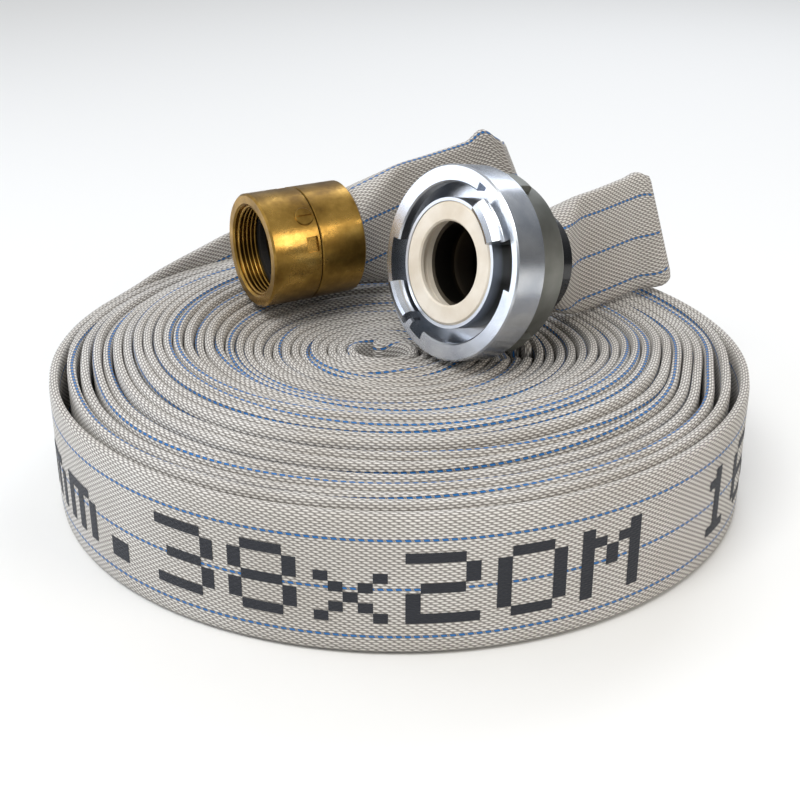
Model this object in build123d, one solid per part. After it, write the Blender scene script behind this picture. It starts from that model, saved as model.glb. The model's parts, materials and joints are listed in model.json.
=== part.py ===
from build123d import *
from math import atan2, cos, degrees, hypot, pi, radians, sin
import os

# Rolled lay-flat fire hose with a Storz coupling on one end and a swivelling
# brass thread coupling on the other. Millimetres, +Z up, origin at the centre
# of the roll's underside. The hose is doubled and rolled from its fold, so the
# roll is a pair of strands that wind outwards clockwise, seen from above.

# ---------------------------------------------------------------- hose sizes
flat_width = 66.0            # width of the empty hose, pressed flat
jacket_wall = 1.5            # woven jacket
lining_wall = 1.0            # rubber lining
hose_bore = 40.0             # inside diameter where the hose is round
hose_wall = jacket_wall + lining_wall
flat_thickness = 2 * hose_wall
hose_radius = hose_bore / 2 + hose_wall

# ---------------------------------------------------------------- roll sizes
roll_radius = 178.0          # outside of the outermost turn, where it starts to climb
roll_centre = (3.0, -1.5)    # middle of the spiral, which puts the outline's middle on the origin
turn_pitch = flat_thickness + 1.2        # radial room that one layer takes
crown_height = flat_width + 12.0         # top of the crown that the tight layers form
crown_radius = 0.63 * roll_radius        # distance of that crown from the roll's centre
edge_rounding = 1.5
turn_points = 24             # points that shape one whole turn
flat_from = 0.34             # share of a strip's length from the coupling to where it lies flat

# angles round the roll, in degrees, where each strand starts to climb
brass_leave_angle = 160.0
storz_leave_angle = 100.0

# ------------------------------------------------------- Storz coupling sizes
storz_heading = 38.4                 # direction of the hose behind it, in plan
storz_droop = 11.8                   # the same direction, below the horizontal
ring_radius = 47.8
storz_face = (23.8, -16.5, crown_height + ring_radius - 8.5)    # centre of the front face
ring_band = 18.0                     # turned band at the front
ring_recess_radius = ring_radius - 4.0
ring_lip_radius = ring_radius - 8.6
ring_lip_depth = 5.5
ring_web_front = 13.0
ring_web_back = 25.0
ring_back_radius = ring_radius - 5.8     # rough cast rear part
ring_length = 39.0
ring_wall = 5.0
cup_radius = ring_radius - 16.0      # tail pipe, where the claw ring turns on it
claw_angles = (45.0, 225.0)          # clockwise from the top, seen from the front
claw_span = 31.0
claw_inner_radius = cup_radius + 1.4
claw_outer_radius = claw_inner_radius + 4.2
claw_hook_radius = claw_outer_radius + 4.4
claw_reach = 8.0                     # in front of the ring's face
claw_hook_depth = 4.6
slot_end = 48.0                      # slot after each claw, for the other half's claw
notch_end = 30.0                     # short slot before each claw, where the cutter ran in
lug_angles = (15.0, 135.0, 255.0)
lug_width = 13.0
lug_start = 17.5
lug_end = 29.0
lug_rounding = 2.5

running_clearance = 0.05
cup_front = -0.6
cup_back = 27.0
seal_radius = cup_radius - 1.6
seal_bore = 2 * (seal_radius - 9.7)
seal_depth = 9.0
seal_stand_out = 1.0
pipe_wall = 3.5
pipe_bore_front = seal_bore
pipe_bore_back = hose_bore - 2 * pipe_wall
pipe_end = 57.0
barb_pitch = 6.0
barb_depth = 0.9
snap_wire = 2.6
snap_station = 20.5
slide_ring_wall = 2.0
slide_ring_radius = cup_radius + 6.2
wire_diameter = 1.8
wire_turns = 9
wire_start = 33.0
sleeve_start = 30.5
sleeve_end = 60.0
sleeve_gap = 0.2
sleeve_wall = 2.5
sleeve_radius = hose_radius + wire_diameter + sleeve_gap + sleeve_wall

# ------------------------------------------------------- brass coupling sizes
brass_heading = 29.5
brass_length = 53.0
nut_length = 27.0
nut_gap = 0.5                        # visible joint between nut and bowl
thread_radius = 23.9                 # major radius of the 1 1/2 inch pipe thread
thread_length = 13.5
brass_radius = max(thread_radius + 6.1, hose_radius + 7.5)
brass_face = (-78.0, 38.8, crown_height + brass_radius - 3.0)
gasket_thickness = 3.4
gasket_bore = hose_bore - 2.0
gasket_groove = 0.7                  # undercut behind the thread, which keeps the gasket in
spigot_radius = brass_radius - 3.4   # part of the bowl that the nut turns on
race_station = 21.0
ball_diameter = 3.0
ball_clearance = 0.2
plug_diameter = 10.0
plug_angle = 45.0
plug_stand_out = 0.8
spanner_angle = 74.0
spanner_count = 4
spanner_width = 8.0
spanner_length = 6.5
spanner_depth = 1.6
shank_shoulder = 30.0                # bottom of the socket that takes the hose
shank_step = 3.0
bowl_groove_depth = 0.6
bowl_groove_count = 4
tail_gasket_thickness = 2.0
expansion_wall = 1.2
brass_rim_chamfer = 1.0

os.makedirs("parts", exist_ok=True)
nodes = {}


def keep(name, shape):
    shape.label = name
    nodes[name] = shape


def turned(points):
    """A ring or tube from its half section, given as (radius, station)."""
    outline = Polyline(*[(r, 0, s) for r, s in points], close=True)
    return revolve(make_face(outline), Axis.Z)


def tube(outer, inner, start, end):
    return turned([(inner, start), (outer, start), (outer, end), (inner, end)])


def arc_block(inner, outer, start, end, middle, span):
    """A slice of a tube that covers an angle about its middle."""
    wedge = [(0, 0)]
    reach = 3 * outer
    for share in (-0.5, -0.25, 0, 0.25, 0.5):
        angle = radians(middle + share * span)
        wedge.append((reach * cos(angle), reach * sin(angle)))
    prism = Pos(0, 0, start) * extrude(make_face(Polyline(*wedge, close=True)), end - start)
    return tube(outer, inner, start, end) & prism


def coupling_plane(face, heading, droop):
    """Local frame of a coupling: Z runs back into the hose, X is up."""
    level = cos(radians(droop))
    axis = Vector(level * cos(radians(heading)), level * sin(radians(heading)), -sin(radians(droop)))
    up = Vector(0, 0, 1) - axis * axis.Z
    return Plane(origin=face, x_dir=up, z_dir=axis)


storz_plane = coupling_plane(storz_face, storz_heading, storz_droop)
brass_plane = coupling_plane(brass_face, brass_heading, 0.0)


def station(plane, distance):
    """A point on a coupling's axis, a distance behind its face."""
    return plane.origin + plane.z_dir * distance


# ------------------------------------------------------------- flattened hose
def hoop(centre, heading, up, half_up, half_across, squareness, corners=20):
    """Closed cross-section of the hose, from round (2) to flat (8)."""
    forward = Vector(cos(radians(heading)), sin(radians(heading)), 0)
    up = Vector(up).normalized()
    across = up.cross(forward).normalized()
    points = []
    for step in range(corners):
        angle = 2 * pi * (step + 0.5) / corners
        rise, side = cos(angle), sin(angle)
        rise = abs(rise) ** (2 / squareness) * (1 if rise > 0 else -1)
        side = abs(side) ** (2 / squareness) * (1 if side > 0 else -1)
        points.append(Vector(centre) + up * (rise * half_up) + across * (side * half_across))
    return Wire.make_polygon([tuple(p) for p in points], close=True)


def flat_hoop(centre, heading, up=(0, 0, 1), half_up=flat_width / 2):
    return hoop(centre, heading, up, half_up, flat_thickness / 2, 8)


def strand_radius(angle, inner_strand):
    """Middle of a strand, from its angle counted back from where it leaves."""
    outermost = roll_radius - flat_thickness / 2
    turns_back = (angle - brass_leave_angle) / 360
    return outermost - 2 * turn_pitch * turns_back - (turn_pitch if inner_strand else 0)


def on_roll(angle, radius, height):
    return (roll_centre[0] + radius * cos(radians(angle)),
            roll_centre[1] + radius * sin(radians(angle)), height)


def spiral(start_angle, inner_strand, offset):
    """One turn of a strand's middle line, moved outwards by an offset."""
    places = []
    for step in range(turn_points + 1):
        angle = start_angle + 360 * step / turn_points
        places.append(on_roll(angle, strand_radius(angle, inner_strand) + offset, 0))
    return Spline(*places)


def outer_turn(leave_angle, inner_strand):
    """The last whole turn of a strand, standing on the floor."""
    outside = spiral(leave_angle, inner_strand, flat_thickness / 2)
    inside = spiral(leave_angle, inner_strand, -flat_thickness / 2)
    ends = [Line(outside @ 0, inside @ 0), Line(outside @ 1, inside @ 1)]
    band = extrude(make_face([outside, inside] + ends), flat_width)
    rims = band.edges().group_by(Axis.Z)[0] + band.edges().group_by(Axis.Z)[-1]
    return chamfer([edge for edge in rims if edge.length > roll_radius], edge_rounding)


def climb(leave_angle, inner_strand, route, fold, loop, arrive):
    """Hoops up to the fold: (angle, way out, lift as a share of the crown's height, leans),
    then (offset from the fold, leans), where a lean is the way that a hoop's top moves."""
    first = on_roll(leave_angle, strand_radius(leave_angle, inner_strand), flat_width / 2)
    places = [first]
    leans = [(0, 0)]
    for angle, way_out, lift, lean_x, lean_y in route:
        radius = strand_radius(angle, inner_strand) + way_out
        places.append(on_roll(angle, radius, flat_width / 2 + lift * crown_height))
        leans.append((lean_x, lean_y))
    for x, y, z, lean_x, lean_y in loop:
        places.append((fold[0] + x, fold[1] + y, fold[2] + z))
        leans.append((lean_x, lean_y))
    last_side = crease_side(arrive)
    beyond = (fold[0] + last_side.X, fold[1] + last_side.Y, fold[2])
    hoops = [flat_hoop(first, leave_angle - 90)]
    for before, here, after, lean in zip(places, places[1:], places[2:] + [beyond], leans[1:]):
        heading = degrees(atan2(after[1] - before[1], after[0] - before[0]))
        hoops.append(flat_hoop(here, heading, (*lean, 1)))
    return hoops


def crease_side(heading):
    """From a fold's centre to the strand's middle, where it has a heading."""
    return Vector(-sin(radians(heading)), cos(radians(heading)), 0) * (flat_thickness / 2 + 0.6)


def crease(centre, arrive, leave, lean):
    """Hoops round the sharp fold, from one heading to the other, clockwise."""
    up = Vector(cos(radians(leave)) * lean, sin(radians(leave)) * lean, 1)
    hoops = []
    steps = 6
    turning = (arrive - leave) % 360
    for step in range(steps + 1):
        heading = arrive - turning * step / steps
        place = Vector(centre) + crease_side(heading)
        share = step / steps
        half_up = flat_width / 2 * (1 - share + share * up.length)
        hoops.append(flat_hoop(tuple(place), heading, tuple(up), half_up))
    return hoops


def neck(plane, start, end, fold, lean):
    """Hoops from the flat strip, leaning as its fold does, to the round end."""
    heading = degrees(atan2(-plane.z_dir.Y, -plane.z_dir.X))
    far = Vector(fold)
    hoops = []
    shares = (0.8, 0.6, 0.42, 0.3, 0.18, 0.07, 0.0)
    lean_way = Vector(cos(radians(heading)), sin(radians(heading)), 0) * lean
    for share in shares:
        reach = start + (end - start) * share
        axis_point = station(plane, reach)
        drift = (far - station(plane, end)) * share * share * (2 - share)
        place = axis_point + Vector(drift.X, drift.Y, drift.Z)
        flatness = min(1.0, share / flat_from) ** 0.7
        half_up = hose_radius + (flat_width / 2 - hose_radius) * flatness
        half_across = hose_radius + (flat_thickness / 2 - hose_radius) * flatness
        tilt = Vector(0, 0, 1) + lean_way * share ** 2
        up = plane.x_dir * (1 - flatness) + tilt * flatness
        half_up *= 1 + (tilt.length - 1) * flatness
        hoops.append(hoop(tuple(place), heading, tuple(up), half_up, half_across, 2 + 6 * flatness ** 3))
    return hoops


def pinched_void(plane, start, end):
    """The space in the hose just behind a coupling, before it lies flat."""
    heading = degrees(atan2(-plane.z_dir.Y, -plane.z_dir.X))
    hoops = []
    for share in (0.0, 0.08, 0.15):
        flatness = min(1.0, share / flat_from) ** 0.7
        half_up = hose_radius + (flat_width / 2 - hose_radius) * flatness - hose_wall - 0.4
        half_across = hose_radius + (flat_thickness / 2 - hose_radius) * flatness - hose_wall - 0.4
        up = plane.x_dir * (1 - flatness) + Vector(0, 0, 1) * flatness
        place = station(plane, start + (end - start) * share)
        hoops.append(hoop(tuple(place), heading, tuple(up), half_up, half_across, 2))
    return Solid.make_loft(hoops, ruled=True)


def hose_end(climbing, fold, arrive, leave, lean, plane, inside, mouth, end):
    """A whole tail: climb, fold, flat strip, neck and the round tube in the coupling."""
    hoops = climbing + crease(fold, arrive, leave, lean) + neck(plane, mouth, end, fold, lean)
    strip = Solid.make_loft(hoops, ruled=True)
    strip -= pinched_void(plane, mouth, end)
    round_end = tube(hose_radius, hose_radius - jacket_wall, inside, mouth)
    return strip + plane.location * round_end


# brass strand: climbs round the back, then loops inwards over the rim to its fold
brass_lean = 0.47
brass_arrive = -115
brass_fold = on_roll(63.0, strand_radius(63.0, False) - 44.6, crown_height + 5.5 + flat_width / 2)
brass_climb = climb(brass_leave_angle, False, [
    (150, 0, 0.032, 0, 0), (143, 0, 0.077, 0, 0), (133, 0, 0.147, 0, 0), (127, 0, 0.205, 0, 0),
    (118, 0, 0.27, 0, 0), (109, 0, 0.345, 0, 0), (103, 0, 0.395, 0, 0), (97, 0, 0.46, 0, 0),
    (90, 0, 0.555, 0, 0), (84, 0, 0.65, -0.04, -0.02), (79, 0, 0.735, -0.12, -0.08)],
    brass_fold, [(-6, 46.5, -16, -0.3, -0.22), (2.5, 35, -11.5, -0.36, -0.3), (6, 22, -7, -0.4, -0.26),
                 (5.2, 11, -4, -0.41, -0.24)], brass_arrive)
# Storz strand: stays low until the other has passed over it, then climbs beside the rim
storz_lean = 0.41
storz_arrive = -75
storz_fold = on_roll(30.2, strand_radius(30.2, True) - 16.5, crown_height - 5.5 + flat_width / 2)
storz_climb = climb(storz_leave_angle, True, [
    (92, 0, 0, 0, 0), (84, 0, 0, 0, 0), (76, 0, 0, 0, 0), (70, 0, 0.03, 0, 0), (64, 0, 0.13, 0, 0),
    (58, 0, 0.26, 0, 0), (52, 0, 0.42, 0, 0), (47, -1, 0.56, -0.05, -0.03), (42.5, -3, 0.69, -0.12, -0.1),
    (38.5, -7, 0.80, -0.2, -0.16)], storz_fold, [(-1, 12.5, -5, -0.28, -0.23)], storz_arrive)

brass_strip_heading = brass_heading + 180
storz_strip_heading = degrees(atan2(station(storz_plane, sleeve_end).Y - storz_fold[1],
                                    station(storz_plane, sleeve_end).X - storz_fold[0]))
brass_strip_end = hypot(brass_fold[0] - brass_face[0], brass_fold[1] - brass_face[1])
storz_strip_end = hypot(storz_fold[0] - storz_face[0], storz_fold[1] - storz_face[1])

keep("hose_outer_turn", outer_turn(brass_leave_angle, False))
keep("hose_second_turn", outer_turn(storz_leave_angle, True))
keep("brass_hose_end", hose_end(brass_climb, brass_fold, brass_arrive, brass_strip_heading, brass_lean,
                                brass_plane, shank_shoulder + tail_gasket_thickness,
                                brass_length + 1, brass_strip_end))
keep("storz_hose_end", hose_end(storz_climb, storz_fold, storz_arrive, storz_strip_heading, storz_lean,
                                storz_plane, wire_start - 2,
                                sleeve_end + 1, storz_strip_end))
keep("brass_end_lining", brass_plane.location * tube(
    hose_bore / 2 + lining_wall, hose_bore / 2, shank_shoulder + tail_gasket_thickness, brass_length + 1))
keep("storz_end_lining", storz_plane.location * tube(
    hose_bore / 2 + lining_wall, hose_bore / 2, wire_start - 2, sleeve_end + 1))

# ------------------------------------------------------------------ hose roll
def dent(plane, radius, start, end):
    """Room for a coupling, pressed into the top of the soft roll."""
    return plane.location * (Pos(0, 0, (start + end) / 2) * Cylinder(radius, end - start))


def hose_roll():
    """The tight layers as one closed solid, with the step where the strands part."""
    core_edge = spiral(brass_leave_angle, True, flat_thickness / 2 - turn_pitch)
    footprint = make_face([core_edge, Line(core_edge @ 0, core_edge @ 1)])
    column = extrude(footprint, 2 * crown_height)
    inner = flat_width + 0.2
    crown = Spline((0, 0, inner), (crown_radius * 0.45, 0, inner + 1.6),
                   (crown_radius, 0, crown_height), (roll_radius, 0, flat_width - 1))
    rim = Polyline((roll_radius, 0, flat_width - 1), (roll_radius, 0, 0), (0, 0, 0), (0, 0, inner))
    domed = revolve(make_face([*crown.edges(), *rim.edges()]), Axis.Z)
    roll = column & (Pos(*roll_centre) * domed)
    roll -= dent(storz_plane, ring_radius + 0.6, -claw_reach - 1, ring_length + 1)
    roll -= dent(storz_plane, sleeve_radius + 0.6, ring_length, sleeve_end + 2)
    roll -= dent(brass_plane, brass_radius + 0.6, -2, brass_length + 1)
    for name in ("brass_hose_end", "storz_hose_end"):
        roll -= pressed_under(nodes[name])
    return roll


def pressed_under(tail):
    """Room below and round a strip that lies on the roll."""
    return Pos(0, 0, -0.4) * tail + Pos(0.4, 0.4, 0) * tail + Pos(-0.4, -0.4, 0) * tail


keep("hose_roll", hose_roll())


# ------------------------------------------------------------- Storz coupling
def storz_claw_ring():
    back_inner = ring_back_radius - ring_wall
    body = turned([
        (ring_lip_radius, 0.8), (ring_lip_radius + 0.8, 0), (ring_radius - 0.8, 0), (ring_radius, 0.8),
        (ring_radius, ring_band - 0.6), (ring_radius - 0.6, ring_band),
        (ring_back_radius + 1.4, ring_band), (ring_back_radius, ring_length - 3),
        (ring_back_radius - 2.5, ring_length), (back_inner, ring_length),
        (back_inner, ring_web_back), (cup_radius + running_clearance, ring_web_back),
        (cup_radius + running_clearance, ring_web_front), (ring_recess_radius, ring_web_front),
        (ring_recess_radius, ring_lip_depth), (ring_lip_radius, ring_lip_depth)])
    for angle in claw_angles:
        for start, end in ((claw_span / 2, slot_end), (-notch_end, -claw_span / 2 - 1.5)):
            body -= arc_block(ring_lip_radius - 2, ring_recess_radius, -1, ring_web_front,
                              angle + (start + end) / 2, end - start)
        body += storz_claw(angle)
    for angle in lug_angles:
        width = degrees(lug_width / ring_radius)
        lug = arc_block(ring_back_radius - 4, ring_radius - 1.4, lug_start, lug_end, angle, width)
        lug = fillet(lug.edges().filter_by(GeomType.CIRCLE).sort_by(lambda e: e.radius)[-2:].sort_by(Axis.Z)[-1:],
                     lug_rounding)
        body += lug
    body -= snap_groove()
    body -= tube(slide_ring_radius + 0.1, cup_radius - 1, ring_web_back - slide_ring_wall, ring_web_back + 1)
    return body


def storz_claw(angle):
    """Hooked claw: bevelled crest, rounded outer tip, and a hollow behind it down to the lip."""
    back = ring_web_front + 1
    profile = turned([
        (claw_inner_radius, back), (claw_inner_radius, -claw_reach + 3), (claw_inner_radius + 1.3, -claw_reach + 0.6),
        (claw_outer_radius - 1.2, -claw_reach), (claw_outer_radius + 1.6, -claw_reach + 1.0),
        (claw_hook_radius, -claw_reach + 3.4), (claw_hook_radius - 0.2, -claw_reach + 4.8),
        (claw_outer_radius + 1.6, -claw_reach + 5.6), (claw_outer_radius + 0.9, -0.4),
        (ring_lip_radius + 1.2, 1.2), (ring_recess_radius + 0.8, 2.0), (ring_recess_radius + 0.8, back)])
    return profile & arc_block(claw_inner_radius - 1, ring_radius - 1, -claw_reach - 1, back + 1,
                               angle, claw_span)


def snap_groove():
    return Pos(0, 0, snap_station) * Torus(cup_radius, snap_wire / 2 + 0.3)


def storz_tail_pipe():
    """Seal cup, journal and barbed hose tail in one casting."""
    bore_front = pipe_bore_front / 2
    bore_back = pipe_bore_back / 2
    tail = bore_back + pipe_wall
    barbs = []
    mark = wire_start
    while mark + barb_pitch < pipe_end:
        barbs += [(tail - barb_depth, mark), (tail, mark + barb_pitch * 0.8)]
        mark += barb_pitch
    pipe = turned([
        (bore_front, seal_depth), (seal_radius, seal_depth), (seal_radius, cup_front),
        (cup_radius, cup_front), (cup_radius, cup_back),
        (tail + 4, cup_back + 1), (tail - barb_depth, wire_start - 2.5)] + barbs + [
        (tail - barb_depth, mark), (tail - 1.2, pipe_end), (bore_back, pipe_end),
        (bore_back, cup_back + 4), (bore_front, cup_back - 5)])
    return pipe - snap_groove()


def storz_face_seal():
    """Lipped seal that stands a little proud of its cup."""
    inner = seal_bore / 2
    front = -seal_stand_out
    return turned([
        (inner, front + 0.8), (inner + 0.8, front), (seal_radius - 1.2, front),
        (seal_radius - 0.1, front + 1.1), (seal_radius - 0.1, seal_depth), (inner + 2.2, seal_depth),
        (inner + 2.2, seal_depth - 3), (inner + 4.5, seal_depth - 4), (inner + 4.5, front + 3.4),
        (inner, front + 2.6)])


def storz_binding_wire():
    """Wound turns side by side, pulled tight on the jacket."""
    turns = [Pos(0, 0, wire_start + (step + 0.5) * wire_diameter * 1.15)
             * Torus(hose_radius + wire_diameter / 2, wire_diameter / 2) for step in range(wire_turns)]
    return Compound(children=turns)


def storz_binding_sleeve():
    inner = hose_radius + wire_diameter + sleeve_gap
    lip = hose_radius + sleeve_gap
    return turned([
        (inner, sleeve_start), (sleeve_radius - 1.0, sleeve_start), (sleeve_radius, sleeve_start + 1.0),
        (sleeve_radius, sleeve_end - 1.6), (sleeve_radius - 1.6, sleeve_end), (lip, sleeve_end),
        (lip, sleeve_end - 3), (inner, sleeve_end - 4)])


storz_at = storz_plane.location
keep("storz_claw_ring", storz_at * storz_claw_ring())
keep("storz_tail_pipe", storz_at * storz_tail_pipe())
keep("storz_face_seal", storz_at * storz_face_seal())
keep("storz_snap_ring", storz_at * (Pos(0, 0, snap_station) * Torus(cup_radius, snap_wire / 2)
                                    - arc_block(cup_radius - 4, cup_radius + 4, snap_station - 3,
                                                snap_station + 3, 200, 8)))
keep("storz_slide_ring", storz_at * tube(slide_ring_radius, cup_radius + 0.1,
                                         ring_web_back - slide_ring_wall + 0.1, ring_web_back))
keep("storz_binding_wire", storz_at * storz_binding_wire())
keep("storz_binding_sleeve", storz_at * storz_binding_sleeve())


# ------------------------------------------------------------- brass coupling
spigot_front = thread_length + gasket_thickness + 0.2


def ball_race(radius):
    return Pos(0, 0, race_station) * Torus(spigot_radius, radius)


def brass_swivel_nut():
    groove = thread_radius + gasket_groove
    nut = turned([
        (thread_radius, brass_rim_chamfer), (thread_radius + brass_rim_chamfer, 0),
        (brass_radius - brass_rim_chamfer, 0), (brass_radius, brass_rim_chamfer),
        (brass_radius, nut_length - 0.4), (brass_radius - 0.4, nut_length),
        (spigot_radius + running_clearance, nut_length),
        (spigot_radius + running_clearance, spigot_front - 0.2), (groove, spigot_front - 0.2),
        (groove, thread_length), (thread_radius, thread_length)])
    nut -= ball_race(ball_diameter / 2 + ball_clearance)
    nut -= filler_hole(plug_diameter / 2)
    for turn in range(spanner_count):
        pocket = Pos(brass_radius, 0, nut_length - 1.5 - spanner_length / 2)
        pocket *= Box(2 * spanner_depth, spanner_width, spanner_length)
        nut -= Rot(0, 0, spanner_angle + turn * 360 / spanner_count) * pocket
    return nut


def filler_hole(radius):
    """Radial hole over the race, through which the balls are dropped in."""
    depth = brass_radius - spigot_radius - ball_diameter / 2 - ball_clearance
    middle = brass_radius - depth / 2
    hole = Pos(middle, 0, race_station) * Rot(0, 90, 0) * Cylinder(radius, depth)
    return Rot(0, 0, plug_angle) * hole


def ball_filler_plug():
    """Low headed screw that closes the hole, slotted for a driver."""
    depth = brass_radius - spigot_radius - ball_diameter / 2 - ball_clearance
    top = brass_radius + plug_stand_out
    height = depth + plug_stand_out
    plug = Pos(top - height / 2, 0, race_station) * Rot(0, 90, 0) * Cylinder(plug_diameter / 2 - 0.05, height)
    plug = chamfer(plug.edges().sort_by(Axis.X)[-1:], 0.4)
    plug -= Pos(top, 0, race_station) * Box(1.2, 1.2, plug_diameter * 0.8)
    return Rot(0, 0, plug_angle) * plug


def bearing_balls():
    count = int(2 * pi * spigot_radius / (ball_diameter * 1.08))
    balls = []
    for step in range(count):
        angle = 360 * step / count
        balls.append(Rot(0, 0, angle) * Pos(spigot_radius, 0, race_station) * Sphere(ball_diameter / 2))
    return Compound(children=balls)


def brass_bowl():
    """Spigot for the nut, waterway, and the socket that grips the hose."""
    waterway = gasket_bore / 2
    back = nut_length + nut_gap
    bowl = turned([
        (waterway, spigot_front), (spigot_radius, spigot_front), (spigot_radius, back),
        (brass_radius - 0.4, back), (brass_radius, back + 0.4), (brass_radius, brass_length - 1),
        (brass_radius - 1, brass_length), (hose_radius + 0.6, brass_length),
        (hose_radius, brass_length - 0.8), (hose_radius, shank_shoulder), (waterway, shank_shoulder)])
    pitch = (brass_length - shank_shoulder - tail_gasket_thickness - shank_step) / bowl_groove_count
    for step in range(bowl_groove_count):
        place = shank_shoulder + tail_gasket_thickness + shank_step + step * pitch
        bowl -= tube(hose_radius + bowl_groove_depth, hose_radius - 1, place, place + pitch / 2)
    return bowl - ball_race(ball_diameter / 2 + ball_clearance)


brass_at = brass_plane.location
keep("brass_swivel_nut", brass_at * brass_swivel_nut())
keep("ball_filler_plug", brass_at * ball_filler_plug())
keep("bearing_balls", brass_at * bearing_balls())
keep("brass_bowl", brass_at * brass_bowl())
keep("nut_gasket", brass_at * tube(thread_radius + gasket_groove - 0.1, gasket_bore / 2, thread_length,
                                   thread_length + gasket_thickness))
keep("tail_gasket", brass_at * tube(hose_radius, gasket_bore / 2 + 0.2, shank_shoulder,
                                    shank_shoulder + tail_gasket_thickness))
keep("expansion_ring", brass_at * tube(hose_bore / 2, hose_bore / 2 - expansion_wall,
                                       shank_shoulder + tail_gasket_thickness, brass_length - 1))

for name, shape in nodes.items():
    export_step(shape, f"parts/{name}.step")
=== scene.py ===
import json
from math import atan2, cos, degrees, pi, radians, sin

import bmesh
import bpy
import numpy as np
from mathutils import Matrix, Vector

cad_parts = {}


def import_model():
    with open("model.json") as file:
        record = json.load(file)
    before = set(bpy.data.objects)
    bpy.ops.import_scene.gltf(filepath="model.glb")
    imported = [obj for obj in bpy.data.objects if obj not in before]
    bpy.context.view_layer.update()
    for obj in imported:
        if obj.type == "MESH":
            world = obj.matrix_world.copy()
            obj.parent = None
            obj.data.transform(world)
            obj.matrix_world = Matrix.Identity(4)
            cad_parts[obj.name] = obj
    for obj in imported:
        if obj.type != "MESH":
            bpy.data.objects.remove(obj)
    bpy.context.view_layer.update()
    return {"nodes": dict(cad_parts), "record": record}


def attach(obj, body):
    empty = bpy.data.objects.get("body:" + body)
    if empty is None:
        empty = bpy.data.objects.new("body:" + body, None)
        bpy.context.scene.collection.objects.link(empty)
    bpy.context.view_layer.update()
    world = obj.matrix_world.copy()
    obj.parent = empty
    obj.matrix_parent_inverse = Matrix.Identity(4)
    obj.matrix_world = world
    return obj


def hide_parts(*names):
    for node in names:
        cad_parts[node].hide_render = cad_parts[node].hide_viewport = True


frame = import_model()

MM = 0.001

# The hose, in millimetres
FLAT_WIDTH = 66.0
THICKNESS = 4.7              # two walls pressed together
ROUND_RADIUS = 22.5          # outside, where the hose is round
ROUND_LENGTH = 138.0         # once round the jacket: 120 warp threads of 1.15 mm
ROLL_CENTRE = (3.0, -1.5)
OUTER_MIDDLE = 175.5         # middle line of the outermost strand, where it leaves
PITCH_OUT = 6.2              # room for one layer, at the rim and at the core
PITCH_IN = 5.2
CORE_RADIUS = 10.5
BRASS_LEAVES = 160.0         # angles at which the strands climb out of the roll
STORZ_LEAVES = 100.0
STEPS_PER_TURN = 120

# Thread spacing of the weave, in millimetres
WARP = 1.15
WEFT = 1.85
BLUE_EVERY = 20              # one blue warp thread in twenty
BLUE_ROW = 8.0               # which of the twenty is blue


def colour(hex_value):
    """sRGB hex to linear RGBA."""
    parts = [int(hex_value[i:i + 2], 16) / 255 for i in (1, 3, 5)]
    return [p / 12.92 if p < 0.04045 else ((p + 0.055) / 1.055) ** 2.4 for p in parts] + [1.0]


def add(tree, kind, links=None, **settings):
    """Adds a node; links gives sockets, nodes or plain values by input."""
    node = tree.nodes.new(kind)
    for key, value in settings.items():
        setattr(node, key, value)
    for key, value in (links or {}).items():
        if isinstance(value, bpy.types.Node):
            value = value.outputs[0]
        if isinstance(value, bpy.types.NodeSocket):
            tree.links.new(value, node.inputs[key])
        else:
            node.inputs[key].default_value = value
    return node


def material(name):
    made = bpy.data.materials.new(name)
    made.use_nodes = True
    made.node_tree.nodes.clear()
    return made, made.node_tree


def finish_surface(tree, links):
    shader = add(tree, "ShaderNodeBsdfPrincipled", links)
    add(tree, "ShaderNodeOutputMaterial", {"Surface": shader})


def stops(node, *pairs):
    """Sets a colour ramp's stops: (position, hex or grey)."""
    ramp = node.color_ramp
    while len(ramp.elements) < len(pairs):
        ramp.elements.new(0.5)
    for element, (position, value) in zip(ramp.elements, pairs):
        element.position = position
        element.color = colour(value) if isinstance(value, str) else [value, value, value, 1]
    return node


# ------------------------------------------------------------------ couplings
MOUNTS = {mount["name"]: mount for mount in frame["record"]["mounts"]}


def coupling_frame(face, backwards):
    """Matrix whose Z runs back into the hose and whose X is up, at a coupling's face."""
    axis = Vector(backwards).normalized()
    up = (Vector((0, 0, 1)) - axis * axis.z).normalized()
    side = axis.cross(up)
    turn = Matrix((up, side, axis)).transposed().to_4x4()
    return Matrix.Translation(face) @ turn


BRASS_THREAD_MIDDLE = 7.25    # mm behind the brass coupling's face, where its mount sits
storz_axis = -Vector(MOUNTS["storz_face"]["axis"])
brass_axis = -Vector(MOUNTS["brass_thread"]["axis"])
STORZ = coupling_frame(Vector(MOUNTS["storz_face"]["pos_m"]), storz_axis)
BRASS = coupling_frame(Vector(MOUNTS["brass_thread"]["pos_m"]) - brass_axis * BRASS_THREAD_MIDDLE * MM,
                       brass_axis)


def on_axis(matrix, distance):
    """Point on a coupling's axis, in millimetres, a distance behind its face."""
    return np.array(matrix @ Vector((0, 0, distance * MM))) / MM


# ---------------------------------------------------------------------- hose
def smooth_noise(count, step, seed, amount):
    """A smooth random line with a knot every so many samples."""
    draws = np.random.default_rng(seed).uniform(-amount, amount, count // step + 4)
    where = np.arange(count) / step
    cell = where.astype(int)
    share = where - cell
    share = share * share * (3 - 2 * share)
    return draws[cell] * (1 - share) + draws[cell + 1] * share


def bell(value, middle, width):
    away = (value - middle + 180) % 360 - 180
    return np.exp(-(away / width) ** 2)


# where the hose leaves each coupling, in mm behind its face
BRASS_MOUTH = 54
STORZ_MOUTH = 61
STORZ_STRIP_FROM = 60
TURNS = 14 + 5 / 6           # from the folded middle of the hose to where the brass end leaves


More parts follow.
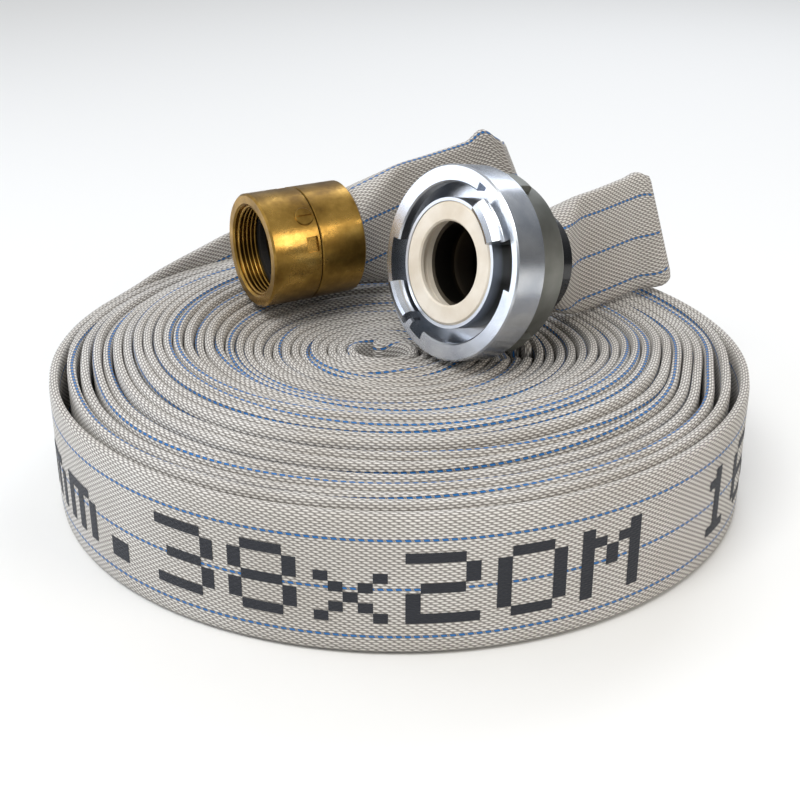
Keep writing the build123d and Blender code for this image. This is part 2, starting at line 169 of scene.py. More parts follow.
def pair_radius(turns):
    """Radius of the line between the two strands."""
    rim = OUTER_MIDDLE - PITCH_OUT / 2
    share = np.clip(turns / TURNS, 0, None)
    plain = CORE_RADIUS + 2 * (PITCH_IN * turns + (PITCH_OUT - PITCH_IN) * turns * share ** 1.5 / 2.5)
    full = CORE_RADIUS + 2 * (PITCH_IN + (PITCH_OUT - PITCH_IN) / 2.5) * TURNS
    return plain + (rim - full) * share


def loose_gap(angle, layer):
    """How far a layer has slipped inwards beside the loose outer turns."""
    first = 3.4 * bell(angle, 197, 17) + 3.2 * bell(angle, 350, 15)
    second = 1.6 * bell(angle, 186, 13) + 2.8 * bell(angle, 346, 12)
    third = 1.0 * bell(angle, 200, 12) + 1.3 * bell(angle, 338, 12)
    fade = np.clip(1 - (layer - 1) / 10, 0, 1)
    return (first * (layer > 0) + second * (layer > 1) + third * (layer > 2)) * fade


def strand(inner_strand):
    """One strand from the core outwards: middle line, top and bottom heights."""
    end = TURNS + (BRASS_LEAVES - STORZ_LEAVES) / 360 if inner_strand else TURNS
    count = int(round(end * STEPS_PER_TURN)) + 1
    turns = np.linspace(0, end, count)
    angle = BRASS_LEAVES + 360 * (TURNS - turns)
    pitch = PITCH_IN + (PITCH_OUT - PITCH_IN) * np.clip(turns / TURNS, 0, 1) ** 1.5
    middle = pair_radius(turns) + (-0.5 if inner_strand else 0.5) * pitch
    layer = 2 * np.floor(TURNS - turns + 1e-6).clip(0) + (1 if inner_strand else 0)
    seed = 11 if inner_strand else 23
    calm = np.clip((TURNS - turns) / 1.2, 0, 1) * np.clip(turns, 0, 1)
    middle = middle - loose_gap(angle, layer) + smooth_noise(count, 9, seed, 0.22) * calm
    squeeze = 0.34 * np.exp(-middle / 40)
    across = ROLL_CENTRE[0] - 11 * np.exp(-middle / 60)
    x = across + middle * (1 + squeeze) * np.cos(np.radians(angle))
    y = ROLL_CENTRE[1] * (1 - np.exp(-middle / 40)) + middle * np.sin(np.radians(angle))
    calm_side = 1 - 0.78 * bell(angle, 28, 38)
    crown = 14.0 * np.exp(-((middle - 118) / 34) ** 2) * calm_side
    uneven = smooth_noise(count, 31, seed + 1, 1.5) + smooth_noise(count, 11, seed + 2, 0.5)
    lift = crown + uneven * np.clip(middle / 60, 0.3, 1) * np.clip((TURNS - turns) * 1.5, 0, 1)
    if inner_strand:
        lift = lift + 2.2 * np.clip((end - turns) * 3, 0, 1) * np.exp(-(TURNS - turns).clip(0) * 2)
    top = np.minimum(FLAT_WIDTH + lift.clip(-0.2, None), room_above(x, y))
    bottom = np.maximum(top - FLAT_WIDTH, 0)
    return np.stack([x, y, top, bottom], 1)


# room kept clear round each coupling: radius, start and stop behind its face
STORZ_RING_ROOM = (48.4, -10, 42)
STORZ_TAIL_ROOM = (27.6, 38, 64)
BRASS_ROOM = (30.5, -3, 56)
UNDER_STORZ_STRIP = 69.0     # heights of the strips' undersides
UNDER_BRASS_STRIP = 81.0


def under_cylinder(x, y, matrix, radius, start, stop):
    """Height of a lying cylinder's underside over points of the floor, in millimetres."""
    origin = on_axis(matrix, 0)
    axis = on_axis(matrix, 1) - origin
    level = np.hypot(axis[0], axis[1])
    along = ((x - origin[0]) * axis[0] + (y - origin[1]) * axis[1]) / level
    aside = np.abs((x - origin[0]) * axis[1] - (y - origin[1]) * axis[0]) / level
    inside = (along > start * level) & (along < stop * level) & (aside < radius)
    drop = np.sqrt(np.maximum(radius ** 2 - aside ** 2, 0)) / level
    under = origin[2] + along / level * axis[2] - drop
    return np.where(inside, under, 1e3)


def room_above(x, y):
    """The highest that the roll may reach below the couplings and the strips."""
    room = under_cylinder(x, y, STORZ, *STORZ_RING_ROOM)
    room = np.minimum(room, under_cylinder(x, y, STORZ, *STORZ_TAIL_ROOM))
    room = np.minimum(room, under_cylinder(x, y, BRASS, *BRASS_ROOM))
    strips = ((on_axis(STORZ, STORZ_STRIP_FROM), STORZ_FOLD, UNDER_STORZ_STRIP),
              (on_axis(BRASS, BRASS_MOUTH), BRASS_FOLD, UNDER_BRASS_STRIP))
    for start, fold, under in strips:
        run = np.array(fold[:2]) - start[:2]
        size = np.hypot(*run)
        along = ((x - start[0]) * run[0] + (y - start[1]) * run[1]) / size
        aside = np.abs((x - start[0]) * run[1] - (y - start[1]) * run[0]) / size
        near = (along > -5) & (along < size + 8)
        room = np.minimum(room, np.where(near, under + np.maximum(aside - 9, 0) * 0.9, 1e3))
    return room


def spiral_radius(angle, inner_strand):
    back = (angle - BRASS_LEAVES) / 360
    return OUTER_MIDDLE - 2 * PITCH_OUT * back - (PITCH_OUT if inner_strand else 0)


def on_roll(angle, radius, height):
    return (ROLL_CENTRE[0] + radius * cos(radians(angle)),
            ROLL_CENTRE[1] + radius * sin(radians(angle)), height)


CROWN = FLAT_WIDTH + 12.0
BRASS_FOLD = on_roll(63.0, spiral_radius(63.0, False) - 44.6, CROWN + 5.5 + FLAT_WIDTH / 2)
STORZ_FOLD = on_roll(30.2, spiral_radius(30.2, True) - 16.5, CROWN - 5.5 + FLAT_WIDTH / 2)
BRASS_LEAN, STORZ_LEAN = 0.47, 0.41
BRASS_ARRIVES, STORZ_ARRIVES = -115, -75
# climbing strands: angle, way out of the spiral, lift as a share of the crown, lean x, lean y
BRASS_CLIMB = [(150, 0, 0.032, 0, 0), (143, 0, 0.077, 0, 0), (133, 0, 0.147, 0, 0), (127, 0, 0.205, 0, 0),
               (118, 0, 0.27, 0, 0), (109, 0, 0.345, 0, 0), (103, 0, 0.395, 0, 0), (97, 0, 0.46, 0, 0),
               (90, 0, 0.555, 0, 0), (84, 0, 0.65, -0.04, -0.02), (79, 0, 0.735, -0.12, -0.08)]
STORZ_CLIMB = [(92, 0, 0, 0, 0), (84, 0, 0, 0, 0), (76, 0, 0, 0, 0), (70, 0, 0.03, 0, 0),
               (64, 0, 0.13, 0, 0), (58, 0, 0.26, 0, 0), (52, 0, 0.42, 0, 0), (47, -1, 0.56, -0.05, -0.03),
               (42.5, -3, 0.69, -0.12, -0.1), (38.5, -7, 0.80, -0.2, -0.16)]
# then, from the fold's middle: offset x, y, z, lean x, lean y
BRASS_LOOP = [(-6, 46.5, -16, -0.3, -0.22), (2.5, 35, -11.5, -0.36, -0.3), (6, 22, -7, -0.4, -0.26),
              (5.2, 11, -4, -0.41, -0.24)]
STORZ_LOOP = [(-1, 12.5, -5, -0.28, -0.23)]
FLAT_FROM = 0.34             # share of a strip's length from the coupling to where it lies flat


def tail(inner_strand, climb, fold, loop, arrive, leave, lean, matrix, mouth):
    """Rows of (x, y, z, lean x, lean y, half height, half thickness) from roll to coupling."""
    half, thin = FLAT_WIDTH / 2, THICKNESS / 2
    rows = []
    for angle, way_out, lift, lean_x, lean_y in climb:
        radius = spiral_radius(angle, inner_strand) + way_out
        rows.append((*on_roll(angle, radius, half + lift * CROWN), lean_x, lean_y, half, thin))
    for x, y, z, lean_x, lean_y in loop:
        rows.append((fold[0] + x, fold[1] + y, fold[2] + z, lean_x, lean_y, half, thin))
    turn = (arrive - leave) % 360
    slope = np.array((cos(radians(leave)) * lean, sin(radians(leave)) * lean))
    longer = (1 + lean ** 2) ** 0.5 - 1
    for step in range(9):
        heading = radians(arrive - turn * step / 8)
        tight = thin + 0.5
        rows.append((fold[0] - sin(heading) * tight, fold[1] + cos(heading) * tight, fold[2],
                     *slope, half * (1 + longer * step / 8), thin))
    end = on_axis(matrix, mouth)
    span = np.hypot(fold[0] - on_axis(matrix, 0)[0], fold[1] - on_axis(matrix, 0)[1]) - mouth
    far = np.array(fold) - on_axis(matrix, mouth + span)
    for share in (0.8, 0.68, 0.56, 0.46, 0.38, 0.31, 0.24, 0.17, 0.11, 0.05, 0.0):
        place = on_axis(matrix, mouth + span * share) + far * share * share * (2 - share)
        flat = min(1.0, share / FLAT_FROM) ** 0.7
        tilt = share ** 2
        reach = ROUND_RADIUS + (half - ROUND_RADIUS) * flat
        taller = 1 + ((1 + (lean * tilt) ** 2) ** 0.5 - 1) * flat
        rows.append((*place, *(slope * tilt * flat), reach * taller,
                     ROUND_RADIUS + (thin - ROUND_RADIUS) * flat))
    rows.append((*on_axis(matrix, mouth - 8), 0, 0, ROUND_RADIUS - 0.3, ROUND_RADIUS - 0.3))
    return np.array(rows, float)


def through(rows, spacing):
    """Rows blended on a smooth line through the given ones."""
    chord = np.sqrt(np.sum(np.diff(rows[:, :3], axis=0) ** 2, 1)).clip(0.3)
    at = np.concatenate([[0], np.cumsum(chord)])
    slope = np.gradient(rows, at, axis=0)
    out = [rows[:1]]
    for i in range(len(chord)):
        count = max(1, int(round(chord[i] / spacing)))
        t = (np.arange(1, count + 1) / count)[:, None]
        h00, h10 = 2 * t ** 3 - 3 * t ** 2 + 1, t ** 3 - 2 * t ** 2 + t
        h01, h11 = 3 * t ** 2 - 2 * t ** 3, t ** 3 - t ** 2
        out.append(h00 * rows[i] + h10 * chord[i] * slope[i]
                   + h01 * rows[i + 1] + h11 * chord[i] * slope[i + 1])
    return np.concatenate(out)


def roll_rows(inner_strand):
    """The strand's rows in the roll, in the same form as a tail's."""
    line = strand(inner_strand)
    half = (line[:, 2] - line[:, 3]) / 2
    rows = np.zeros((len(line), 7))
    rows[:, :2] = line[:, :2]
    rows[:, 2] = (line[:, 2] + line[:, 3]) / 2
    rows[:, 5] = half
    rows[:, 6] = THICKNESS / 2
    return rows


def whole_hose():
    """Rows of the whole hose, from the brass coupling to the Storz coupling."""
    brass_strip = degrees(atan2(-brass_axis.y, -brass_axis.x))
    storz_end = on_axis(STORZ, STORZ_STRIP_FROM)
    storz_strip = degrees(atan2(storz_end[1] - STORZ_FOLD[1], storz_end[0] - STORZ_FOLD[0]))
    brass_tail = tail(False, BRASS_CLIMB, BRASS_FOLD, BRASS_LOOP, BRASS_ARRIVES, brass_strip,
                      BRASS_LEAN, BRASS, BRASS_MOUTH)
    storz_tail = tail(True, STORZ_CLIMB, STORZ_FOLD, STORZ_LOOP, STORZ_ARRIVES, storz_strip,
                      STORZ_LEAN, STORZ, STORZ_MOUTH)
    outer, inner = roll_rows(False), roll_rows(True)
    brass_half = np.concatenate([outer, through(np.concatenate([outer[-1:], brass_tail]), 2.5)[1:]])
    storz_half = np.concatenate([inner, through(np.concatenate([inner[-1:], storz_tail]), 2.5)[1:]])
    # the hose's folded middle, where one strand turns into the other
    a, b = outer[0], inner[0]
    out = np.array([a[0] - outer[1][0], a[1] - outer[1][1]])
    out = out / np.linalg.norm(out) * np.linalg.norm(a[:2] - b[:2]) / 2
    middle, reach = (a + b) / 2, (a - b) / 2
    nose = []
    for step in range(1, 8):
        angle = pi * step / 8
        row = middle + reach * cos(angle)
        row[:2] += out * sin(angle) * 1.3
        nose.append(row)
    return np.concatenate([brass_half[::-1], nose, storz_half]), len(brass_half)


HOOP_POINTS = 18


def hoops(rows):
    """Section points (stations, HOOP_POINTS, 3) and lengths along the hose."""
    ahead = np.gradient(rows[:, :2], axis=0)
    ahead = ahead / np.linalg.norm(ahead, axis=1)[:, None]
    up = np.stack([rows[:, 3], rows[:, 4], np.ones(len(rows))], 1)
    up = up / np.linalg.norm(up, axis=1)[:, None]
    forward = np.concatenate([ahead, np.zeros((len(rows), 1))], 1)
    across = np.cross(up, forward)
    across = across / np.linalg.norm(across, axis=1)[:, None]
    half, thin = rows[:, 5:6], rows[:, 6:7]
    flat = np.clip((half - thin) / (FLAT_WIDTH / 2 - THICKNESS / 2), 0, 1)
    angle = pi + 2 * pi * np.arange(HOOP_POINTS) / HOOP_POINTS
    rise, side = np.cos(angle)[None, :], np.sin(angle)[None, :]
    rim = (half - thin) * np.clip(rise / 0.55, -1, 1) + thin * rise
    edge = thin * ((1 - flat) * side + flat * np.clip(side / 0.8, -1, 1))
    points = rows[:, None, :3] + up[:, None, :] * rim[..., None] + across[:, None, :] * edge[..., None]
    points[..., 2] = np.maximum(points[..., 2], 0.0)
    steps = np.sqrt(np.sum(np.diff(rows[:, :3], axis=0) ** 2, 1))
    return points, np.concatenate([[0], np.cumsum(steps)])


def warp_drift(length, total):
    """How far the hose has turned on itself, which moves the blue threads, in mm."""
    half = total / 2
    steady = [(0, -13.2), (230, -9.2), (430, -2), (500, 0), (1500, 0), (1900, -11.7), (half, -11.7),
              (half + 400, -14.7), (total - 1500, -14.2), (total - 600, -13), (total - 420, -3.2),
              (total, -3.2)]
    wander = smooth_noise(len(length), 70, 5, 7.5) + smooth_noise(len(length), 23, 6, 1.2)
    loose = np.clip((length - 1600) / 400, 0, 1) * np.clip((total - 600 - length) / 400, 0, 1)
    return np.interp(length, *zip(*steady)) + wander * loose


def quad_mesh(name, grid, uv, closed=True):
    """A mesh from a grid of points, joined round when closed, with a UV map in metres."""
    rows, columns = grid.shape[:2]
    spans = columns if closed else columns - 1
    row, column = np.meshgrid(np.arange(rows - 1), np.arange(spans), indexing="ij")
    after = (column + 1) % columns
    faces = np.stack([row * columns + column, row * columns + after,
                      (row + 1) * columns + after, (row + 1) * columns + column], -1).reshape(-1, 4)
    mesh = bpy.data.meshes.new(name)
    mesh.from_pydata((grid.reshape(-1, 3) * MM).tolist(), [], faces.tolist())
    wide = np.concatenate([uv, uv[:, :1] + [0, ROUND_LENGTH * MM]], 1) if closed else uv
    corners = [wide[row, column], wide[row, column + 1], wide[row + 1, column + 1], wide[row + 1, column]]
    layer = mesh.uv_layers.new(name="weave")
    layer.data.foreach_set("uv", np.stack(corners, 2).reshape(-1).astype(np.float32))
    mesh.shade_smooth()
    return mesh


def piece(name, mesh, made, body):
    built = bpy.data.objects.new(name, mesh)
    bpy.context.scene.collection.objects.link(built)
    mesh.materials.append(made)
    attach(built, body)
    return built


rows, brass_count = whole_hose()
HOOPS, LENGTHS = hoops(rows)
TOTAL = float(LENGTHS[-1])


def hose_uv():
    drift = warp_drift(LENGTHS, TOTAL)
    sides = HOOPS - np.roll(HOOPS, -1, axis=1)
    steps = np.linalg.norm(sides, axis=2)
    round_way = np.concatenate([np.zeros((len(steps), 1)), np.cumsum(steps, 1)[:, :-1]], 1)
    round_way = round_way / steps.sum(1)[:, None] * ROUND_LENGTH
    u = np.repeat(LENGTHS[:, None], HOOP_POINTS, 1)
    return np.stack([u, round_way + drift[:, None] + 10 * ROUND_LENGTH], -1) * MM


# ------------------------------------------------------------------ materials
def weave(tree):
    """Plain weave from the length and the way round: height, place along a crown, thread row."""
    uv = add(tree, "ShaderNodeUVMap", uv_map="weave")
    axes = add(tree, "ShaderNodeSeparateXYZ", {0: uv})
    rows_ = add(tree, "ShaderNodeMath", {0: axes.outputs[1], 1: 1 / (WARP * MM)}, operation="MULTIPLY")
    row = add(tree, "ShaderNodeMath", {0: rows_}, operation="FLOOR")
    share = add(tree, "ShaderNodeMath", {0: rows_}, operation="FRACT")
    columns = add(tree, "ShaderNodeMath", {0: axes.outputs[0], 1: 1 / (2 * WEFT * MM)}, operation="MULTIPLY")
    offset = add(tree, "ShaderNodeMath", {0: row, 1: 0.5, 2: columns}, operation="MULTIPLY_ADD")
    slant = add(tree, "ShaderNodeMath", {0: share, 1: 0.16, 2: offset}, operation="MULTIPLY_ADD")
    turn = add(tree, "ShaderNodeMath", {0: slant, 1: 2 * pi}, operation="MULTIPLY")
    wave = add(tree, "ShaderNodeMath", {0: turn}, operation="COSINE")
    along = add(tree, "ShaderNodeMath", {0: wave, 1: 0.5, 2: 0.5}, operation="MULTIPLY_ADD")
    half_turn = add(tree, "ShaderNodeMath", {0: share, 1: pi}, operation="MULTIPLY")
    arch = add(tree, "ShaderNodeMath", {0: half_turn}, operation="SINE")
    crown = add(tree, "ShaderNodeMath", {0: along, 1: 0.9, 2: 0.1}, operation="MULTIPLY_ADD")
    height = add(tree, "ShaderNodeMath", {0: arch, 1: crown}, operation="MULTIPLY")
    return height, along, row


def weave_bump(tree, height, depth=0.45):
    return add(tree, "ShaderNodeBump", {"Height": height, "Strength": 0.8, "Distance": depth * MM})


def jacket_colour(tree, height, light="#e9e6e0", dark="#7f7a75"):
    """Undyed polyester: pale crowns as painted highlight, darker gaps between the threads as painted shade,
    and faint soiling over the length.
    """
    # painted light: the weave height, slant included, picks the colour, a painted highlight on the crowns and
    # painted shade in the gaps
    ramp = stops(add(tree, "ShaderNodeValToRGB", {0: height}), (0.05, dark), (0.6, light))
    place = add(tree, "ShaderNodeTexCoord")
    soil = add(tree, "ShaderNodeTexNoise", {"Vector": place.outputs["Object"], "Scale": 14.0,
                                            "Detail": 4.0})
    shade = stops(add(tree, "ShaderNodeValToRGB", {0: soil}), (0.35, "#dcd8d2"), (0.65, "#ffffff"))
    mixed = add(tree, "ShaderNodeMix", {0: 0.55, 6: ramp, 7: shade}, data_type="RGBA",
                blend_type="MULTIPLY")
    return mixed.outputs[2]


def woven_jacket():
    """Woven polyester jacket: undyed yarn in a plain weave, with dyed blue warp threads."""
    made, tree = material("woven_polyester_jacket")
    height, along, row = weave(tree)
    base = jacket_colour(tree, height)
    count = add(tree, "ShaderNodeMath", {0: row, 1: BLUE_EVERY}, operation="MODULO")
    away = add(tree, "ShaderNodeMath", {0: count, 1: BLUE_ROW}, operation="SUBTRACT")
    near = add(tree, "ShaderNodeMath", {0: away}, operation="ABSOLUTE")
    this_row = add(tree, "ShaderNodeMath", {0: near, 1: 0.5}, operation="LESS_THAN")
    on_top = add(tree, "ShaderNodeMapRange", {0: along, 1: 0.18, 2: 0.3})
    blue = add(tree, "ShaderNodeMath", {0: this_row, 1: on_top}, operation="MULTIPLY")
    # the dyed blue is darker in the gaps as painted shade and brighter on the crowns as painted highlight
    yarn = stops(add(tree, "ShaderNodeValToRGB", {0: height}), (0.1, "#083f7d"), (0.7, "#1273bb"))
    mixed = add(tree, "ShaderNodeMix", {0: blue, 6: base, 7: yarn}, data_type="RGBA").outputs[2]
    finish_surface(tree, {"Base Color": mixed, "Roughness": 0.75, "Sheen Weight": 0.15,
                          "Normal": weave_bump(tree, height)})
    return made


def printed_ink():
    """Dark ink over the weave, which still shows in its relief."""
    made, tree = material("printed_ink_on_weave")
    height, _, _ = weave(tree)
    base = jacket_colour(tree, height)
    place = add(tree, "ShaderNodeTexCoord")
    patchy = add(tree, "ShaderNodeTexNoise", {"Vector": place.outputs["Object"], "Scale": 900.0,
                                              "Detail": 2.0})
    sum_ = add(tree, "ShaderNodeMath", {0: height, 1: patchy}, operation="ADD")
    bare = stops(add(tree, "ShaderNodeValToRGB", {0: sum_}), (1.12, 0.0), (1.36, 1.0))
    mixed = add(tree, "ShaderNodeMix", {0: bare, 6: colour("#1b1f28"), 7: base}, data_type="RGBA").outputs[2]
    finish_surface(tree, {"Base Color": mixed, "Roughness": 0.6, "Normal": weave_bump(tree, height)})
    return made


def turned_place(tree, matrix):
    """Position in a coupling's own frame: Z along its axis from the face."""
    place = add(tree, "ShaderNodeTexCoord")
    inverse = matrix.inverted()
    turn = inverse.to_euler()
    return add(tree, "ShaderNodeMapping", {"Vector": place.outputs["Object"],
                                           "Location": inverse.translation, "Rotation": turn})


def lathe_lines(tree, local, fine):
    """Fine rings that a lathe tool leaves, as a height."""
    axes = add(tree, "ShaderNodeSeparateXYZ", {0: local})
    x2 = add(tree, "ShaderNodeMath", {0: axes.outputs[0], 1: axes.outputs[0]}, operation="MULTIPLY")
    r2 = add(tree, "ShaderNodeMath", {0: axes.outputs[1], 1: axes.outputs[1], 2: x2},
             operation="MULTIPLY_ADD")
    radius = add(tree, "ShaderNodeMath", {0: r2}, operation="SQRT")
    path = add(tree, "ShaderNodeMath", {0: radius, 1: axes.outputs[2]}, operation="ADD")
    ring = add(tree, "ShaderNodeCombineXYZ", {0: path, 1: 0.0, 2: 0.0})
    lines = add(tree, "ShaderNodeTexNoise", {"Vector": ring, "Scale": fine, "Detail": 3.0})
    return lines, axes


def turned_aluminium():
    """Forged aluminium ring: face and band turned bright, the back left as forged."""
    made, tree = material("turned_and_forged_aluminium")
    local = turned_place(tree, STORZ)
    lines, axes = lathe_lines(tree, local, 1500.0)
    cloud = add(tree, "ShaderNodeTexNoise", {"Vector": local, "Scale": 55.0, "Detail": 5.0})
    grit = add(tree, "ShaderNodeTexNoise", {"Vector": local, "Scale": 1400.0, "Detail": 2.0})
    forged = add(tree, "ShaderNodeMapRange", {0: axes.outputs[2], 1: 0.0178, 2: 0.0184})
    bright = stops(add(tree, "ShaderNodeValToRGB", {0: cloud}), (0.35, "#b9bec6"), (0.65, "#d9dce0"))
    grey = stops(add(tree, "ShaderNodeValToRGB", {0: cloud}), (0.3, "#74756f"), (0.7, "#94958f"))
    base = add(tree, "ShaderNodeMix", {0: forged, 6: bright, 7: grey}, data_type="RGBA").outputs[2]
    rough = add(tree, "ShaderNodeMapRange", {0: forged, 3: 0.27, 4: 0.5})
    height = add(tree, "ShaderNodeMix", {0: forged, 2: lines, 3: grit}, data_type="FLOAT")
    bump = add(tree, "ShaderNodeBump", {"Height": height, "Strength": 0.35, "Distance": 0.05 * MM})
    finish_surface(tree, {"Base Color": base, "Metallic": 1.0, "Roughness": rough, "Normal": bump})
    return made


def cast_aluminium():
    """Tail pipe: bright rim at the front, darker further into the bore as painted shade, with one brownish
    band partway in.
    """
    made, tree = material("cast_aluminium")
    local = turned_place(tree, STORZ)
    lines, axes = lathe_lines(tree, local, 1300.0)
    depth = add(tree, "ShaderNodeMapRange", {0: axes.outputs[2], 1: 0.001, 2: 0.034})
    # painted shade: this tone darkens with depth behind the face, down into the bore
    tone = stops(add(tree, "ShaderNodeValToRGB", {0: depth}), (0.0, "#c9ccd0"), (0.16, "#6a665f"),
                 (0.55, "#4a4640"), (0.62, "#6d6253"), (0.7, "#453f38"), (1.0, "#2b2825"))
    bump = add(tree, "ShaderNodeBump", {"Height": lines, "Strength": 0.3, "Distance": 0.05 * MM})
    finish_surface(tree, {"Base Color": tone, "Metallic": 1.0, "Roughness": 0.38, "Normal": bump})
    return made


def cast_brass():
    """Cast brass, machined and handled: golden where it is rubbed, brown where it isn't."""
    made, tree = material("cast_brass")
    local = turned_place(tree, BRASS)
    lines, _ = lathe_lines(tree, local, 700.0)
    stain = add(tree, "ShaderNodeTexNoise", {"Vector": local, "Scale": 38.0, "Detail": 7.0,
                                             "Roughness": 0.62})
    tone = stops(add(tree, "ShaderNodeValToRGB", {0: stain}), (0.30, "#5d431c"), (0.46, "#8f6f33"),
                 (0.60, "#b8924a"), (0.75, "#cfae66"))
    pits = add(tree, "ShaderNodeTexNoise", {"Vector": local, "Scale": 420.0, "Detail": 4.0})
    rough = add(tree, "ShaderNodeMapRange", {0: stain, 1: 0.3, 2: 0.7, 3: 0.42, 4: 0.2})
    sum_ = add(tree, "ShaderNodeMath", {0: lines, 1: 0.6, 2: pits}, operation="MULTIPLY_ADD")
    bump = add(tree, "ShaderNodeBump", {"Height": sum_, "Strength": 0.5, "Distance": 0.12 * MM})
    finish_surface(tree, {"Base Color": tone, "Metallic": 1.0, "Roughness": rough, "Normal": bump})
    return made


def moulded(name, light, dark, rough, grain, relief, coat=0.0):
    """Moulded rubber or nylon: one body colour, faintly mottled, with a fine skin."""
    made, tree = material(name)
    place = add(tree, "ShaderNodeTexCoord")
    mottle = add(tree, "ShaderNodeTexNoise", {"Vector": place.outputs["Object"], "Scale": 60.0,
                                              "Detail": 5.0})
    tone = stops(add(tree, "ShaderNodeValToRGB", {0: mottle}), (0.35, dark), (0.65, light))
    skin = add(tree, "ShaderNodeTexNoise", {"Vector": place.outputs["Object"], "Scale": grain, "Detail": 3.0})
    bump = add(tree, "ShaderNodeBump", {"Height": skin, "Strength": 0.4, "Distance": relief * MM})
    finish_surface(tree, {"Base Color": tone, "Roughness": rough, "Coat Weight": coat, "Normal": bump})
    return made


def drawn_steel():
    """Drawn spring steel wire and polished balls."""
    made, tree = material("drawn_steel")
    place = add(tree, "ShaderNodeTexCoord")
    marks = add(tree, "ShaderNodeTexNoise", {"Vector": place.outputs["Object"], "Scale": 500.0,
                                             "Detail": 3.0})
    tone = stops(add(tree, "ShaderNodeValToRGB", {0: marks}), (0.3, "#8d8f92"), (0.7, "#b7b9bc"))
    bump = add(tree, "ShaderNodeBump", {"Height": marks, "Strength": 0.3, "Distance": 0.03 * MM})
    finish_surface(tree, {"Base Color": tone, "Metallic": 1.0, "Roughness": 0.3, "Normal": bump})
    return made


def paint(node, made):
    mesh = frame["nodes"][node].data
    mesh.materials.clear()
    mesh.materials.append(made)


# --------------------------------------------------------------- the hose piece
jacket = woven_jacket()
hose = piece("rolled_hose", quad_mesh("rolled_hose", HOOPS, hose_uv()), jacket, "hose")
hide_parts("hose_roll", "hose_outer_turn", "hose_second_turn", "brass_hose_end", "storz_hose_end")
print("hose length mm", round(TOTAL), "triangles", 2 * len(hose.data.polygons))

# ------------------------------------------------------------------- the print
# Size marks in five by seven cells; the line says only a width, a length and a pressure
MARKS = {
    "m": "00000 00000 11110 10101 10101 10101 10101",
    ".": "00000 00000 00000 00000 00000 01100 01100",
    "3": "11110 00001 00001 01110 00001 00001 11110",
    "8": "01110 10001 10001 01110 10001 10001 01110",
    "x": "00000 00000 10001 01010 00100 01010 10001",
    "2": "11110 00001 00001 01110 10000 10000 11111",
    "0": "01110 10001 10001 10001 10001 10001 01110",
    "M": "10001 11011 10101 10101 10001 10001 10001",
    "1": "00100 01100 00100 00100 00100 00100 01110",
    "6": "01110 10000 10000 11110 10001 10001 01110",
}
LINE = "mm.38x20M 16"
CELL = (6.1, 4.8)            # width and height of one cell, in mm
MARK_PITCH = 37.5
MARK_TOP = 16.0              # below the hose's top edge
FIRST_MARK_AT = 232.4 - 3 * degrees(MARK_PITCH / OUTER_MIDDLE)
INK_STAND_OFF = 0.22


def outer_station(angle):
    """Row number where the outermost strand passes an angle on its last turn."""
    return brass_count - 1 - (TURNS - (angle - BRASS_LEAVES) / 360) * STEPS_PER_TURN


def printed_marks():
    """Patches of ink that follow the outermost turn of the hose."""
    front = int(round(outer_station(270)))
    level = HOOPS[front, :HOOP_POINTS // 2 + 1, 2]
    way = hose_uv()[front, :HOOP_POINTS // 2 + 1, 1]
    start = np.interp(outer_station(FIRST_MARK_AT), np.arange(len(LENGTHS)), LENGTHS)
    verts, faces, corners = [], [], []

    def patch(left, right, low, high):
        count = max(2, int(np.ceil((right - left) / 2.5)) + 1)
        along = np.linspace(left, right, count)
        at = np.interp(along, LENGTHS, np.arange(len(LENGTHS)))
        cell = np.floor(at).astype(int)
        share = (at - cell)[:, None]
        centre = rows[cell, :2] * (1 - share) + rows[cell + 1, :2] * share
        ahead = rows[cell + 1, :2] - rows[cell, :2]
        ahead = ahead / np.linalg.norm(ahead, axis=1)[:, None]
        out = np.stack([ahead[:, 1], -ahead[:, 0]], 1) * (THICKNESS / 2 + INK_STAND_OFF)
        first = len(verts)
        for u, spot in zip(along, centre + out):
            for z in (low, high):
                verts.append((spot[0] * MM, spot[1] * MM, z * MM))
                corners.append((u * MM, float(np.interp(z, level, way))))
        for i in range(count - 1):
            a = first + 2 * i
            faces.append((a, a + 2, a + 3, a + 1))

    for place, mark in enumerate(LINE):
        for line, cells in enumerate(MARKS.get(mark, "").split()):
            high = FLAT_WIDTH - MARK_TOP - line * CELL[1]
            for run in range(5):
                if cells[run] == "1" and (run == 0 or cells[run - 1] == "0"):
                    length = len(cells[run:]) - len(cells[run:].lstrip("1"))
                    left = start + place * MARK_PITCH + run * CELL[0]
                    patch(left, left + length * CELL[0], high - CELL[1], high)
    mesh = bpy.data.meshes.new("printed_marks")
    mesh.from_pydata(verts, [], faces)
    layer = mesh.uv_layers.new(name="weave")
    for loop in mesh.loops:
        layer.data[loop.index].uv = corners[loop.vertex_index]
    mesh.shade_smooth()
    piece("printed_marks", mesh, printed_ink(), "hose")


printed_marks()


# ------------------------------------------------------------------ brass nut
INCH = 25.4
THREADS_PER_INCH = 11


def thread_ridges(made):
    """Pipe thread in the swivel nut: one ridge wound along the bore, 11 to the inch."""
    pitch = INCH / THREADS_PER_INCH
    root, crest = 23.95, 22.4
    first, last = 1.2, 13.2
    steps = 64
    count = int((last - first) / pitch * steps)
    profile = ((root, -0.48), (crest, -0.09), (crest, 0.09), (root, 0.48))
    grid = []
    for step in range(count + 1):
        angle = 2 * pi * step / steps
        middle = first + pitch * step / steps
        fade = min(1.0, step / 24, (count - step) / 24)
        ring = []
        for radius, offset in profile:
            reach = root - (root - radius) * fade
            spot = BRASS @ Vector((reach * cos(angle) * MM, reach * sin(angle) * MM,
                                   (middle + offset * pitch) * MM))
            ring.append(np.array(spot) / MM)
        grid.append(ring)
    grid = np.array(grid)
    uv = np.zeros(grid.shape[:2] + (2,))
    ridge = piece("nut_thread_ridges", quad_mesh("nut_thread_ridges", grid, uv), made,
                  "brass_nut")
    close_ends(ridge)


